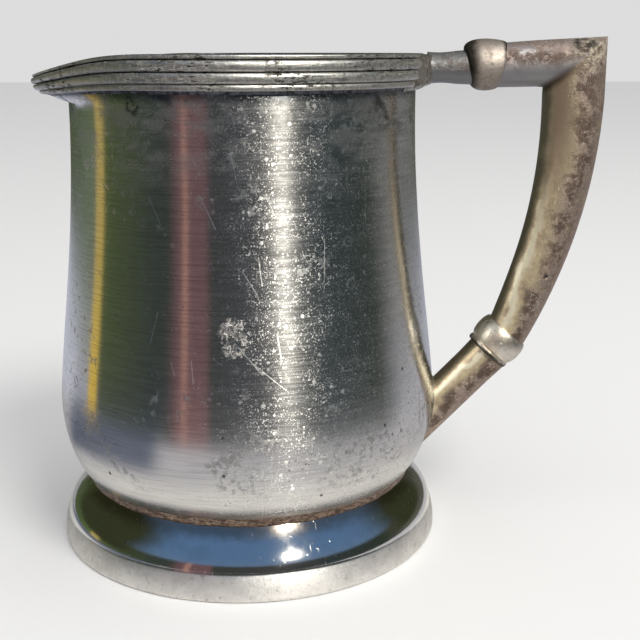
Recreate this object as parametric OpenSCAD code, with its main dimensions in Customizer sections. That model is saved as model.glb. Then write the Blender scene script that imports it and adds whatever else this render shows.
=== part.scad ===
// Footed metal jug with a reeded rim, a small pouring lip and a cranked two-knuckle handle.
// The origin is the centre of the foot's rest ring. +Z is up, +X is the handle, -X is the lip.

/* [Body] */
// Height of the rim above the surface that the jug stands on
rim_z = 92; // [85:0.5:100]
// Outer radius of the straight neck
neck_r = 31.95; // [31.5:0.05:32.5]
// Largest outer radius, low on the body
belly_r = 36.45; // [36:0.05:37]
// Height of the largest radius
belly_z = 27.5; // [26:0.5:29]
// Radius where the body meets the foot
waist_r = 31.1; // [30.6:0.1:31.4]
// Height where the body meets the foot
waist_z = 12.6; // [12.3:0.1:12.9]
// Thickness of the spun sheet
wall = 1.0; // [0.8:0.1:1.2]

/* [Lip] */
// How far the lip reaches out past the round mouth
lip_reach = 5.2; // [3:0.1:6]
// How far the lip's edge drops below the rim
lip_drop = 3.8; // [2:0.1:5]
// Half angle of the lip's bulge, in degrees
lip_half_angle = 56; // [45:1:60]
// Half angle of the lip's drop, in degrees
drop_half_angle = 72; // [60:1:80]

/* [Rim moulding] */
// Height of the reeded moulding
band_h = 5.7; // [5:0.1:6]
// How far the widest reed stands out of the neck
reed_out = 1.75; // [1.4:0.05:2]

/* [Foot] */
// Largest radius of the foot
foot_r = 37.3; // [37:0.1:38]
// Height of the crease between the foot's lower band and its cove
crease_z = 5.4; // [5:0.1:6]
// Radius of that crease
crease_r = 36.3; // [36:0.1:36.6]
// Thickness of the foot's sheet
foot_wall = 1.2; // [1:0.1:1.4]

/* [Handle] */
// Height of the straight upper arm's axis
arm_z = 89.9; // [89:0.1:91]
// Outermost reach of the handle from the jug's axis
handle_reach = 67.4; // [66:0.1:70]
// Radius of the grip's long curve, measured at its outer edge
grip_curve_r = 100; // [95:1:105]
// Thickness of the handle across the plane of its bend
handle_depth = 8.6; // [7.5:0.1:9.5]
// Radius of the upper knuckle
upper_knuckle_r = 4.7; // [4.6:0.05:5]
// Radius of the lower knuckle
lower_knuckle_r = 5.1; // [4.8:0.05:5.3]

/* [Hidden] */

// ---- smoothness ----
around = 84;        // facets round the body, its lip and the rim moulding
handle_sides = 28;  // facets round a handle section
fine = 96;          // facets of the exact round parts when meshed

// ---- general helpers ----
function bezier(a, b, c, d, t) =
    pow(1 - t, 3) * a + 3 * pow(1 - t, 2) * t * b + 3 * (1 - t) * t * t * c + pow(t, 3) * d;
function curve(a, b, c, d, n) = [for (i = [0:n]) bezier(a, b, c, d, i / n)];
function tail(list) = [for (i = [1:len(list) - 1]) list[i]];
function reversed(list) = [for (i = [len(list) - 1:-1:0]) list[i]];
// Points from a to b on a shallow arc that bows by sag to the left of the line a-b
function bow(a, b, sag, n) = let (d = b - a, left = [-d[1], d[0]] / norm(d))
    [for (i = [0:n]) let (t = i / n) a + d * t + left * sag * 4 * t * (1 - t)];
// The point of a polyline of [r, z] points at height z, as a radius
function radius_at(line, z) = lookup(z, [for (p = line) [p[1], p[0]]]);

// A closed solid through rings of points; each ring has the same count of points.
// An end is flat, or a fan round the point given for it.
module skin(rings, first_centre = undef, last_centre = undef) {
    n = len(rings[0]);
    m = len(rings);
    points = [for (ring = rings) for (p = ring) p];
    ends = [first_centre, last_centre];
    sides = [for (j = [0:m - 2]) for (i = [0:n - 1]) let (k = (i + 1) % n)
        each [[j * n + i, (j + 1) * n + i, j * n + k], [j * n + k, (j + 1) * n + i, (j + 1) * n + k]]];
    first_cap = is_undef(first_centre) ? [[for (i = [0:n - 1]) i]]
        : [for (i = [0:n - 1]) [m * n, i, (i + 1) % n]];
    last_row = (m - 1) * n;
    last_cap = is_undef(last_centre) ? [[for (i = [n - 1:-1:0]) last_row + i]]
        : [for (i = [0:n - 1]) [m * n + 1, last_row + (i + 1) % n, last_row + i]];
    spare = rings[0][0];
    centres = is_undef(first_centre) && is_undef(last_centre) ? []
        : [for (c = ends) is_undef(c) ? spare : c];
    polyhedron(concat(points, centres), concat(sides, first_cap, last_cap), convexity = 6);
}

// A closed ring solid: sections all the way round the axis, the last joined to the first
module ring_skin(sections) {
    n = len(sections[0]);
    m = len(sections);
    points = [for (s = sections) for (p = s) p];
    faces = [for (j = [0:m - 1]) for (i = [0:n - 1]) let (k = (i + 1) % n, l = (j + 1) % m)
        each [[j * n + i, j * n + k, l * n + i], [j * n + k, l * n + k, l * n + i]]];
    polyhedron(points, faces, convexity = 8);
}

// ---- the lip: how a point of the round neck moves when the lip is drawn out ----
lip_start_z = rim_z - 8.4;
function bump(angle, half, sharp) = abs(angle) >= half ? 0
    : pow(0.5 + 0.5 * cos(180 * angle / half), sharp);
function lip_level(z) = max(0, min(1, (z - lip_start_z) / (rim_z - lip_start_z)));
function lip_out(z) = 1 - pow(1 - pow(lip_level(z), 1.2), 4.5);
function lip_down(z) = pow(lip_level(z), 0.8);
// angle is measured from -X, where the lip's tip is
function lipped(r, z, angle) = let (
        out = r + lip_reach * lip_out(z) * bump(angle, lip_half_angle, 1.6),
        down = lip_drop * lip_down(z) * bump(angle, drop_half_angle, 1.5))
    [-out * cos(angle), -out * sin(angle), z - down];
function lip_angles() = [for (i = [0:around - 1]) -180 + 360 * i / around];

// ---- body outline, outside, from the waist to the rim ----
band_low_z = rim_z - band_h;
band_rows = [band_low_z, band_low_z + band_h * 0.35, band_low_z + band_h * 0.7, rim_z];
seat_r = 28.6;
seat_z = waist_z - (waist_r - seat_r) * 0.5;
floor_r = 25.5;
floor_z = waist_z - 2.1;
belly_low = curve([waist_r, waist_z], [waist_r + 2.9, waist_z + 1.6],
    [belly_r, belly_z - 7.4], [belly_r, belly_z], 7);
belly_high = curve([belly_r, belly_z], [belly_r, belly_z + 8.5],
    [neck_r, belly_z + 31.5], [neck_r, lip_start_z], 8);
// levels between the neck and the moulding, close together where the lip bends out
flare_rows = [for (part = [0.15, 0.35, 0.6, 0.8]) lip_start_z + part * (band_low_z - lip_start_z)];
outer_line = concat(
    [[floor_r, floor_z], [seat_r, seat_z]],
    belly_low,
    tail(belly_high),
    [for (z = concat(flare_rows, band_rows)) [neck_r, z]]);
inner_line = concat(
    [[floor_r - 1, floor_z + wall], [waist_r - 0.2, waist_z + wall * 0.9]],
    [for (i = [1:len(belly_low) - 1]) belly_low[i] + [-wall, i < 4 ? 0.35 : 0]],
    [for (i = [1:len(belly_high) - 1]) belly_high[i] - [wall, 0]],
    [for (z = concat(flare_rows, band_rows)) [neck_r - wall, z]]);

module body_shell() {
    // the wall goes up outside, over the rim and down inside; two flat discs close the floor
    wall_line = concat(outer_line, reversed(inner_line));
    n = len(wall_line);
    angles = lip_angles();
    points = concat(
        [for (a = angles) for (p = wall_line) lipped(p[0], p[1], a)],
        [[0, 0, floor_z], [0, 0, floor_z + wall]]);
    under = around * n;
    over = under + 1;
    wall_faces = [for (j = [0:around - 1]) let (l = (j + 1) % around) for (i = [0:n - 2])
        each [[j * n + i, j * n + i + 1, l * n + i], [j * n + i + 1, l * n + i + 1, l * n + i]]];
    floor_faces = [for (j = [0:around - 1]) let (l = (j + 1) % around)
        each [[under, j * n, l * n], [over, l * n + n - 1, j * n + n - 1]]];
    color("silver") polyhedron(points, concat(wall_faces, floor_faces), convexity = 8);
}

// ---- rim moulding: three reeds and a small top bead on the outside of the neck ----
// Each reed is [low z, high z, how far it stands out], as parts of the band's height and of reed_out
reeds = [[0.00, 0.19, 0.66], [0.20, 0.51, 0.90], [0.52, 0.845, 1.00], [0.855, 1.00, 0.85]];
groove_out = 0.50;
function reed_points(reed) = let (
        low = band_low_z + reed[0] * band_h,
        high = band_low_z + reed[1] * band_h,
        root = neck_r + groove_out * reed_out,
        out = neck_r + reed[2] * reed_out)
    [[root, low], [root + (out - root) * 0.8, low + (high - low) * 0.18],
     [out, (low + high) / 2], [root + (out - root) * 0.8, high - (high - low) * 0.18], [root, high]];
reed_line = [for (reed = reeds) each reed_points(reed)];
moulding_line = concat(reed_line, reversed([for (z = band_rows) [neck_r, z]]));

module rim_moulding() {
    color("gainsboro")
        ring_skin([for (a = lip_angles()) [for (p = moulding_line) lipped(p[0], p[1], a)]]);
}

// The run of solder in the corner under the moulding
module rim_solder_line() {
    size = 0.55;
    line = [[neck_r, band_low_z - size], [neck_r + size * 0.35, band_low_z - size * 0.35],
        [neck_r + size, band_low_z], [neck_r, band_low_z]];
    color("dimgray")
        ring_skin([for (a = lip_angles()) [for (p = line) lipped(p[0], p[1], a)]]);
}

// ---- foot ----
module foot_ring() {
    rest_in = foot_r - foot_wall - 0.4;
    rest_out = foot_r - 0.4;
    band = bow([foot_r - 0.1, 0.5], [crease_r, crease_z], -0.32, 5);
    cove = bow([crease_r - 0.25, crease_z + 0.15], [waist_r, waist_z], 0.45, 8);
    inner_cove = bow([crease_r - foot_wall - 0.35, crease_z - 0.6],
        [waist_r - foot_wall, waist_z - foot_wall * 0.5], 0.4, 8);
    color("lightgray")
        rotate_extrude($fn = fine)
            polygon(concat(
                [[rest_in, 0], [rest_out, 0]],
                band,
                cove,
                reversed(inner_cove),
                [[rest_in, 1]]));
}

// The bead of solder in the corner between the foot and the body
module foot_solder_seam() {
    up = belly_low[1];
    color("rosybrown")
        rotate_extrude($fn = fine)
            polygon([[waist_r, waist_z], [waist_r + 0.55, waist_z - 0.75], [waist_r + 1.1, waist_z - 0.55],
                [waist_r + 1.35, waist_z - 0.05], up - [0.45, 0.22]]);
}

// ---- handle: plane sections in XZ, swept with a rounded outline ----
// One section: centre c and half width vector h, both [x, z]; depth is across the bend, along Y
squareness = 2.5;
function rounded(v) = sign(v) * pow(abs(v), 2 / squareness);
function section(c, h, depth) = [for (i = [0:handle_sides - 1])
    let (a = 360 * i / handle_sides, u = rounded(cos(a)), v = rounded(sin(a)))
    [c[0] + h[0] * u, depth / 2 * v, c[1] + h[1] * u]];
function direction(angle) = [cos(angle), sin(angle)];

// plan of the handle
root_x = neck_r + reed_out + 0.55;
root_half = 3.0;
upper_knuckle_x = 44.8;
upper_knuckle_half = 3.85;
arm_start_x = upper_knuckle_x + upper_knuckle_half;
arm_start_half = 4.0;
corner_in = [55.9, arm_z - 4.1];
corner_out = [handle_reach - 0.1, arm_z + 5.05];
curve_z = 86;
curve_c = [handle_reach - grip_curve_r, curve_z];
lower_knuckle_c = [49.2, 36.75];
lower_knuckle_half = 3.0;
lower_knuckle_turn = -131;
grip_end = lower_knuckle_c - direction(lower_knuckle_turn) * lower_knuckle_half;
grip_end_half = 4.2;
leg_start_half = 4.15;
leg_turn = -134;
leg_half = 4.0;
leg_side = [-sin(leg_turn), cos(leg_turn)];
leg_start = lower_knuckle_c + direction(lower_knuckle_turn) * lower_knuckle_half + leg_side * 0.3;
pad = 0.5;

// The solder that joins the handle's root to the rim moulding; the reeds run out under it
module upper_handle_solder() {
    spread = 27;
    steps = 18;
    half_face = 3.3;
    low_i = 2;
    line = [for (i = [low_i:len(reed_line) - 4]) reed_line[i]];
    low_z = line[0][1];
    high_z = line[len(line) - 1][1];
    function face_r(a) = let (edge = asin(half_face / root_x))
        abs(a) <= edge ? root_x / cos(a)
        : neck_r + reed_out + 0.04 + 0.6 * pow((spread - abs(a)) / (spread - edge), 2);
    color("darkgray") skin([for (j = [0:steps]) let (a = -spread + 2 * spread * j / steps)
        [for (p = concat(line, [[face_r(a), high_z], [face_r(a), low_z]]))
            [p[0] * cos(a), p[0] * sin(a), p[1]]]]);
}

module handle_root() {
    stations = [[root_x, 0, 0.96], [root_x + 1.6, 0, 0.93], [root_x + 4, 0.05, 0.97],
        [upper_knuckle_x - upper_knuckle_half, 0.1, 1.06]];
    color("slategray") skin([for (s = stations)
        section([s[0], arm_z - 0.55 + s[1]], [0, root_half * s[2]], handle_depth * 0.76)]);
}

// A barrel knuckle about its own axis, which is Z here
module knuckle(r, half) {
    shoulder = r * 0.86;
    swell = bow([shoulder + 0.25, -half + 0.35], [shoulder + 0.25, half - 0.35], 0.25 + shoulder - r, 8);
    rotate_extrude($fn = fine)
        polygon(concat([[0, -half], [shoulder, -half]], swell, [[shoulder, half], [0, half]]));
}

module upper_knuckle() {
    color("darkgray")
        translate([upper_knuckle_x, 0, arm_z])
            rotate([0, 90, 0])
                knuckle(upper_knuckle_r, upper_knuckle_half);
}

// x on the mitre plane for a height z, and the other way round
function mitre_x(z) = corner_in[0] + (z - corner_in[1]) * (corner_out[0] - corner_in[0])
    / (corner_out[1] - corner_in[1]);
mitre_c = (corner_in + corner_out) / 2;
mitre_half = (corner_out - corner_in) / 2;

module upper_arm() {
    near = [arm_start_x, arm_z - 0.12];
    middle_x = 54.5;
    color("rosybrown") skin([
        section(near, [0, arm_start_half], handle_depth * 0.95),
        section([middle_x, arm_z + 0.2], [0, arm_start_half + 0.2], handle_depth),
        section(mitre_c, mitre_half, handle_depth)]);
}

module grip() {
    steps = 26;
    top_half = 5.8;
    last_a = asin((curve_z - grip_end[1]) / (grip_curve_r - grip_end_half * 1.1));
    function half_at(t) = top_half + (grip_end_half - top_half) * pow(t, 1.15);
    function centre(t) = let (a = last_a * t, r = grip_curve_r - half_at(t))
        curve_c + [r * cos(a), -r * sin(a)];
    // the last stretch leans over to meet the knuckle squarely
    function lean(t) = pow(max(0, (t - 0.7) / 0.3), 2);
    function place(t) = centre(t) + (grip_end - centre(1)) * lean(t);
    function turn(t) = last_a * t + (lower_knuckle_turn + 90 + last_a) * -lean(t);
    color("rosybrown") skin(concat(
        [section(mitre_c, mitre_half, handle_depth)],
        [for (i = [1:steps]) let (t = i / steps, a = turn(t))
            section(place(t), [cos(a), -sin(a)] * half_at(t), handle_depth * (1 - 0.08 * t))]));
}

module lower_knuckle() {
    color("silver")
        translate([lower_knuckle_c[0], 0, lower_knuckle_c[1]])
            rotate([0, 90 - lower_knuckle_turn, 0])
                knuckle(lower_knuckle_r, lower_knuckle_half);
}

// Where a line from p along the leg's direction meets the body's outside, gap away from it
function leg_run(p, gap, along, left = 16) = left == 0 ? along : let (
        d = direction(leg_turn),
        q = [p[0] + d[0] * along, p[1], p[2] + d[1] * along],
        miss = norm([q[0], q[1]]) - radius_at(outer_line, q[2]) - gap)
    leg_run(p, gap, along - miss / d[0] * 0.8, left - 1);
function leg_meet(p, gap) = let (d = direction(leg_turn), t = leg_run(p, gap, 10))
    [p[0] + d[0] * t, p[1], p[2] + d[1] * t];
leg_middle = leg_start + direction(leg_turn) * 4;
leg_outline = section(leg_middle, leg_side * leg_half, handle_depth * 0.9);
leg_centre = leg_meet([leg_middle[0], 0, leg_middle[1]], pad);

module lower_leg() {
    color("rosybrown") skin([
        section(leg_start, [-sin(lower_knuckle_turn), cos(lower_knuckle_turn)] * leg_start_half,
            handle_depth * 0.92),
        leg_outline,
        [for (p = leg_outline) leg_meet(p, pad)]],
        last_centre = leg_centre);
}

// A point on the body's outside, gap away from it, from its y and z
function on_body(y, z, gap) = [sqrt(pow(radius_at(outer_line, z) + gap, 2) - y * y), y, z];

// The solder pad between the leg and the body, a little wider than the leg
module lower_handle_solder() {
    face = [for (p = leg_outline) leg_meet(p, pad)];
    spread = 0.7;
    clear = 0.06;
    function out(p, gap) = let (dy = p[1] - leg_centre[1], dz = p[2] - leg_centre[2],
            far = norm([dy, dz]), k = 1 + spread / far)
        on_body(leg_centre[1] + dy * k, leg_centre[2] + dz * k, gap);
    color("darkgray") skin([
        face,
        [for (p = face) out(p, 0.25)],
        [for (p = face) out(p, clear)]],
        first_centre = leg_centre, last_centre = on_body(0, leg_centre[2], clear));
}

body_shell();
rim_moulding();
rim_solder_line();
foot_ring();
foot_solder_seam();
upper_handle_solder();
handle_root();
upper_knuckle();
upper_arm();
grip();
lower_knuckle();
lower_leg();
lower_handle_solder();
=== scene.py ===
"""Looks for the footed silver cream jug: fine meshes and worn-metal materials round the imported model."""

import random
from math import asin, cos, pi, radians, sin

import bpy
import numpy as np
from mathutils import Matrix, Vector


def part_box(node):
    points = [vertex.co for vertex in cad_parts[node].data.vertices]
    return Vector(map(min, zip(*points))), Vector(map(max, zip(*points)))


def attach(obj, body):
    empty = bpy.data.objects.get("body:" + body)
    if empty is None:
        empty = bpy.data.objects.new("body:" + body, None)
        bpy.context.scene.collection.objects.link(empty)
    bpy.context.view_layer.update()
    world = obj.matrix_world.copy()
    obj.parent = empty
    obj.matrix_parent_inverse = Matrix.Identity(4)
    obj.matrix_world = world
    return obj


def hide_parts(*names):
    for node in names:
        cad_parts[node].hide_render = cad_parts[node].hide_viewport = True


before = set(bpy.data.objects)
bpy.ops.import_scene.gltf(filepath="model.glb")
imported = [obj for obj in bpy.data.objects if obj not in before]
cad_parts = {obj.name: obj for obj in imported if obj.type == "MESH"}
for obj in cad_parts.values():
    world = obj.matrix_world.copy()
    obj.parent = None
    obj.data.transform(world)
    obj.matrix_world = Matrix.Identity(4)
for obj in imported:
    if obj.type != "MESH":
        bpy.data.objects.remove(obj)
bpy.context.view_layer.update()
MM = 0.001


def box_mm(node):
    """Lowest and highest corners of a CAD node, in millimetres."""
    low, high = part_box(node)
    return np.array(low) / MM, np.array(high) / MM


# ---- camera
# The camera stands in front of the jug, a little towards the handle, just above the rim.
CAMERA_PLACE = (13.07, -200.5, 92.6)  # mm
CAMERA_YAW = 0.32  # degrees to the right of +Y
CAMERA_PITCH = 14.43  # degrees down
CAMERA_ROLL = 0.07  # degrees
CAMERA_LENS = 59.06  # mm on a 36 mm sensor


def add_object(name, data):
    obj = bpy.data.objects.new(name, data)
    bpy.context.scene.collection.objects.link(obj)
    return obj


def make_camera():
    data = bpy.data.cameras.new("camera")
    data.sensor_width = 36
    data.lens = CAMERA_LENS
    data.clip_start = 0.005
    data.clip_end = 20
    camera = add_object("camera", data)
    turn = Matrix.Rotation(radians(-CAMERA_YAW), 4, "Z")
    tip = Matrix.Rotation(radians(90 - CAMERA_PITCH), 4, "X")
    roll = Matrix.Rotation(radians(-CAMERA_ROLL), 4, "Z")
    camera.matrix_world = Matrix.Translation(Vector(CAMERA_PLACE) * MM) @ turn @ tip @ roll
    bpy.context.scene.camera = camera


make_camera()

# ---- sizes, mm
body_low_corner, body_high_corner = box_mm("body_shell")
foot_high_corner = box_mm("foot_ring")[1]

RIM_Z = box_mm("rim_moulding")[1][2]
BELLY_R = body_high_corner[1]
NECK_R = 31.95
BELLY_Z = 27.5
WAIST_R = 31.1
WAIST_Z = foot_high_corner[2]
WALL = 1.0
LIP_REACH = 5.199
LIP_DROP = 3.8
LIP_HALF_ANGLE = radians(56)
DROP_HALF_ANGLE = radians(72)
LIP_START_Z = RIM_Z - 8.4
BAND_H = 5.7
BAND_LOW_Z = RIM_Z - BAND_H
REED_OUT = 1.75
FOOT_R = 37.3
CREASE_Z = 5.4
CREASE_R = 36.3
FOOT_WALL = 1.2
AROUND = 288  # quads round the body


# ---- curves
def bezier(a, b, c, d, count):
    t = np.linspace(0, 1, count + 1)[:, None]
    a, b, c, d = (np.array(p, float) for p in (a, b, c, d))
    return (1 - t) ** 3 * a + 3 * (1 - t) ** 2 * t * b + 3 * (1 - t) * t * t * c + t**3 * d


def full_turn(count, start=0):
    """Count angles evenly spaced over a whole turn."""
    return np.linspace(start, start + 2 * np.pi, count, endpoint=False)


def bow(a, b, sag, count):
    """Points from a to b that bow by sag to the left of the line."""
    a, b = np.array(a, float), np.array(b, float)
    t = np.linspace(0, 1, count + 1)[:, None]
    left = np.array([-(b - a)[1], (b - a)[0]]) / np.linalg.norm(b - a)
    return a + (b - a) * t + left * sag * 4 * t * (1 - t)


def bump(angle, half, sharp):
    shape = (0.5 + 0.5 * np.cos(np.pi * np.clip(angle / half, -1, 1))) ** sharp
    return np.where(np.abs(angle) < half, shape, 0)


def lipped(r, z, angle):
    """Where a point of the round neck goes when the lip is drawn out; angle is 0 at the lip's tip."""
    level = np.clip((z - LIP_START_Z) / (RIM_Z - LIP_START_Z), 0, 1)
    out = r + LIP_REACH * (1 - (1 - level**1.2) ** 4.5) * bump(angle, LIP_HALF_ANGLE, 1.6)
    down = LIP_DROP * level**0.8 * bump(angle, DROP_HALF_ANGLE, 1.5)
    return np.stack([-out * np.cos(angle), -out * np.sin(angle), z - down], -1)


# ---- meshes
def signed_volume(mesh):
    """Six times the volume a closed mesh holds; it is below zero when the faces look inwards."""
    mesh.calc_loop_triangles()
    corners = np.empty(len(mesh.loop_triangles) * 3, dtype=np.int32)
    mesh.loop_triangles.foreach_get("vertices", corners)
    places = np.empty(len(mesh.vertices) * 3)
    mesh.vertices.foreach_get("co", places)
    a, b, c = places.reshape(-1, 3)[corners.reshape(-1, 3)].transpose(1, 0, 2)
    return float(np.sum(a * np.cross(b, c)))


def new_object(name, vertices, faces, smooth_angle=35, marks=None):
    """A mesh object; marks are named numbers, one to a vertex, that its material reads."""
    mesh = bpy.data.meshes.new(name)
    mesh.from_pydata((np.asarray(vertices) * MM).tolist(), [], faces)
    for key, values in (marks or {}).items():
        attribute = mesh.attributes.new(key, "FLOAT", "POINT")
        attribute.data.foreach_set("value", np.asarray(values, dtype=np.float32))
    mesh.validate()
    mesh.update()
    if signed_volume(mesh) < 0:
        mesh.flip_normals()
    mesh.shade_smooth()
    mesh.set_sharp_from_angle(angle=radians(smooth_angle))
    return add_object(name, mesh)


def ring_faces(sections, points):
    """Quads of a tube that closes on itself both ways."""
    faces = []
    for j in range(sections):
        k = (j + 1) % sections
        for i in range(points):
            after = (i + 1) % points
            faces.append((j * points + i, j * points + after, k * points + after, k * points + i))
    return faces


def around_axis(name, outline, count=AROUND, shape=lipped, smooth_angle=35, marks=None):
    """A closed outline of [r, z] points taken all the way round the jug's axis."""
    outline = np.asarray(outline, float)
    angles = full_turn(count, -np.pi)
    r, z = outline.T[:, None, :]
    vertices = shape(r, z, angles[:, None])
    marks = {key: np.tile(values, count) for key, values in (marks or {}).items()}
    return new_object(name, vertices.reshape(-1, 3), ring_faces(count, len(outline)), smooth_angle, marks)


def loft(name, rings, first_centre=None, last_centre=None, smooth_angle=35):
    """A closed solid through rings of points, with a flat end or a fan round a given centre."""
    rings = [np.asarray(ring, float) for ring in rings]
    n, m = len(rings[0]), len(rings)
    vertices = np.concatenate(rings)
    faces = []
    for j in range(m - 1):
        for i in range(n):
            k = (i + 1) % n
            faces.append((j * n + i, (j + 1) * n + i, (j + 1) * n + k, j * n + k))
    last = (m - 1) * n
    if first_centre is None:
        faces.append(tuple(range(n)))
    else:
        vertices = np.concatenate([vertices, [first_centre]])
        faces += [(len(vertices) - 1, i, (i + 1) % n) for i in range(n)]
    if last_centre is None:
        faces.append(tuple(range(last + n - 1, last - 1, -1)))
    else:
        vertices = np.concatenate([vertices, [last_centre]])
        faces += [(len(vertices) - 1, last + (i + 1) % n, last + i) for i in range(n)]
    side = np.zeros(len(vertices))
    side[:m * n] = np.tile(np.cos(full_turn(n)), m)
    return new_object(name, vertices, faces, smooth_angle, {"side": side})


# ---- body
FLOOR_Z = body_low_corner[2]
FLOOR_R = 25.5
SEAT_R = 28.6
SEAT_Z = WAIST_Z - (WAIST_R - SEAT_R) * 0.5
LIP_ROUND = 0.12  # mm rounded off the sheet's edge
DENT = 0.022  # mm the spun wall wanders


def body_outline():
    """The outside from the waist to the rim, as [r, z]."""
    belly = (BELLY_R, BELLY_Z)
    low = bezier((WAIST_R, WAIST_Z), (WAIST_R + 2.9, WAIST_Z + 1.6), (BELLY_R, BELLY_Z - 7.4), belly, 36)
    high = bezier(belly, (BELLY_R, BELLY_Z + 8.5), (NECK_R, BELLY_Z + 31.5), (NECK_R, LIP_START_Z), 70)
    flare = [(NECK_R, z) for z in np.linspace(LIP_START_Z, RIM_Z, 25)[1:]]
    return np.concatenate([low, high[1:], flare])


def make_body():
    """The spun sheet: its outside, its rounded edge, its inside and its two-sided bottom."""
    outside = body_outline()
    seat = np.array((SEAT_R, SEAT_Z))
    under = bezier((FLOOR_R, FLOOR_Z), (FLOOR_R + 1.5, FLOOR_Z), seat - (1, 0.5), seat, 6)
    outer = np.concatenate([under, outside])
    slope = np.gradient(outside, axis=0)
    normal = np.stack([slope[:, 1], -slope[:, 0]], -1)
    normal /= np.linalg.norm(normal, axis=1)[:, None]
    inside = outside - normal * WALL
    inside[-1] = (NECK_R - WALL, RIM_Z)
    floor_in = bezier((FLOOR_R - 1, FLOOR_Z + WALL), (FLOOR_R + 3, FLOOR_Z + WALL), inside[0] - (0.8, 0.4),
                      inside[0], 8)[:-1]
    inner = np.concatenate([floor_in, inside])[::-1]
    lip_top = [(NECK_R, RIM_Z - LIP_ROUND), (NECK_R - LIP_ROUND, RIM_Z), (NECK_R - WALL + LIP_ROUND, RIM_Z),
               (NECK_R - WALL, RIM_Z - LIP_ROUND)]
    line = np.concatenate([outer[:-1], lip_top, inner[1:]])
    n = len(line)
    a = full_turn(AROUND, -np.pi)[:, None]
    r, z = line.T[:, None, :]
    wobble = (np.sin(3 * a + 0.11 * z) + 0.7 * np.sin(5 * a - 0.19 * z + 1.3)
              + 0.6 * np.sin(9 * a + 0.31 * z + 0.4) + 0.5 * np.sin(14 * a - 0.27 * z + 2.2)
              + 0.8 * np.sin(0.55 * z + 1.5 * np.sin(2 * a)))
    fade = np.clip((z - WAIST_Z - 2) / 8, 0, 1) * np.clip((LIP_START_Z - z) / 6, 0, 1)
    r = r - DENT * fade * (wobble + 3.6) / 3.6
    vertices = lipped(r, z, a).reshape(-1, 3)
    centres = [(0, 0, FLOOR_Z), (0, 0, FLOOR_Z + WALL)]
    faces = []
    for j in range(AROUND):
        k = (j + 1) % AROUND
        for i in range(n - 1):
            faces.append((j * n + i, j * n + i + 1, k * n + i + 1, k * n + i))
        faces.append((AROUND * n, j * n, k * n))
        faces.append((AROUND * n + 1, k * n + n - 1, j * n + n - 1))
    return new_object("body_spun", np.concatenate([vertices, centres]), faces, 40)


# ---- rim moulding
# Each reed: low and high as parts of the band's height, how far it stands out, how square its crest is
REEDS = [(0.0, 0.180, 0.66, 0.7), (0.203, 0.503, 0.90, 0.45),
         (0.530, 0.838, 1.0, 0.4), (0.866, 1.0, 0.85, 0.7)]
GROOVE_OUT = 0.45


def reed_line():
    """The reeded face as [r, z], from the bottom up, and how deep in a groove each point is, 0 to 1."""
    points, depth = [], []
    root = NECK_R + GROOVE_OUT * REED_OUT
    for row, (low, high, out, square) in enumerate(REEDS):
        low_z, high_z = BAND_LOW_Z + low * BAND_H, BAND_LOW_Z + high * BAND_H
        crest = NECK_R + out * REED_OUT
        for t in np.linspace(0, np.pi, 16):
            up = 0.5 - 0.5 * cos(t)
            swell = max(0, sin(t)) ** square
            points.append((root + (crest - root) * swell, low_z + (high_z - low_z) * up))
            dirt = 0.55 if row == 0 or (row == 1 and t < np.pi / 2) else 1
            depth.append((1 - swell) * dirt)
    return points, depth


def make_rim():
    line, depth = reed_line()
    back = [(NECK_R, z) for z in np.linspace(RIM_Z, BAND_LOW_Z, 8)]
    return around_axis("rim_reeds", line + back, smooth_angle=50, marks={"groove": depth + [0] * len(back)})


def make_rim_solder():
    size = 0.55
    steps = ((0, 1), (0.12, 0.6), (0.35, 0.3), (0.7, 0.08), (1, 0), (0, 0))
    line = [(NECK_R + size * out, BAND_LOW_Z - size * down) for out, down in steps]
    return around_axis("rim_solder_run", line)


# ---- foot
def plain(r, z, angle):
    return np.stack([-r * np.cos(angle), -r * np.sin(angle), z + 0 * angle], -1)


def make_foot():
    rest_in, rest_out = FOOT_R - FOOT_WALL - 0.4, FOOT_R - 0.4
    base = bezier((rest_out - 0.25, 0), (rest_out + 0.1, 0), (FOOT_R - 0.12, 0.2), (FOOT_R - 0.1, 0.5), 6)
    band = bow((FOOT_R - 0.1, 0.5), (CREASE_R + 0.08, CREASE_Z - 0.30), -0.20, 16)
    cove = bezier((CREASE_R + 0.08, CREASE_Z - 0.30), (CREASE_R - 0.50, CREASE_Z + 2.80),
                  (WAIST_R + 1.25, WAIST_Z - 2.7), (WAIST_R, WAIST_Z), 44)
    inner_cove = bow((CREASE_R - FOOT_WALL - 0.35, CREASE_Z - 0.6),
                     (WAIST_R - FOOT_WALL, WAIST_Z - FOOT_WALL * 0.5), 0.4, 14)[::-1]
    line = np.concatenate([[(rest_in, 0)], base, band[1:], cove[1:], inner_cove, [(rest_in, 1.0)]])
    line[:, 0] = np.minimum(line[:, 0], foot_high_corner[1] - 0.003)
    return around_axis("foot_spun", line, shape=plain, smooth_angle=40)


def make_foot_seam():
    """A hand-run fillet of solder between belly and foot: it swells and sinks all the way round."""
    top = (outside_r(WAIST_Z + 0.85) + 0.02, WAIST_Z + 0.85)
    face = bezier((WAIST_R + 0.20, WAIST_Z - 0.85), (WAIST_R + 0.95, WAIST_Z - 0.95),
                  (top[0] - 0.35, WAIST_Z - 0.10), top, 14)
    line = np.concatenate([[(WAIST_R - 0.2, WAIST_Z - 0.2)], face, [(top[0] - 1.2, top[1] - 0.35)]])
    centre = np.array((WAIST_R + 0.9, WAIST_Z + 0.2))

    def beaded(r, z, angle):
        swell = (1 + 0.05 * np.sin(17 * angle + 2 * z) + 0.05 * np.sin(41 * angle - 3 * z)
                 + 0.04 * np.sin(83 * angle + 5 * z + 1) + 0.035 * np.sin(131 * angle - 4 * z + 2))
        return plain(centre[0] + (r - centre[0]) * swell, centre[1] + (z - centre[1]) * swell, angle)

    return around_axis("foot_seam_bead", line, count=900, shape=beaded, smooth_angle=70)


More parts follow.
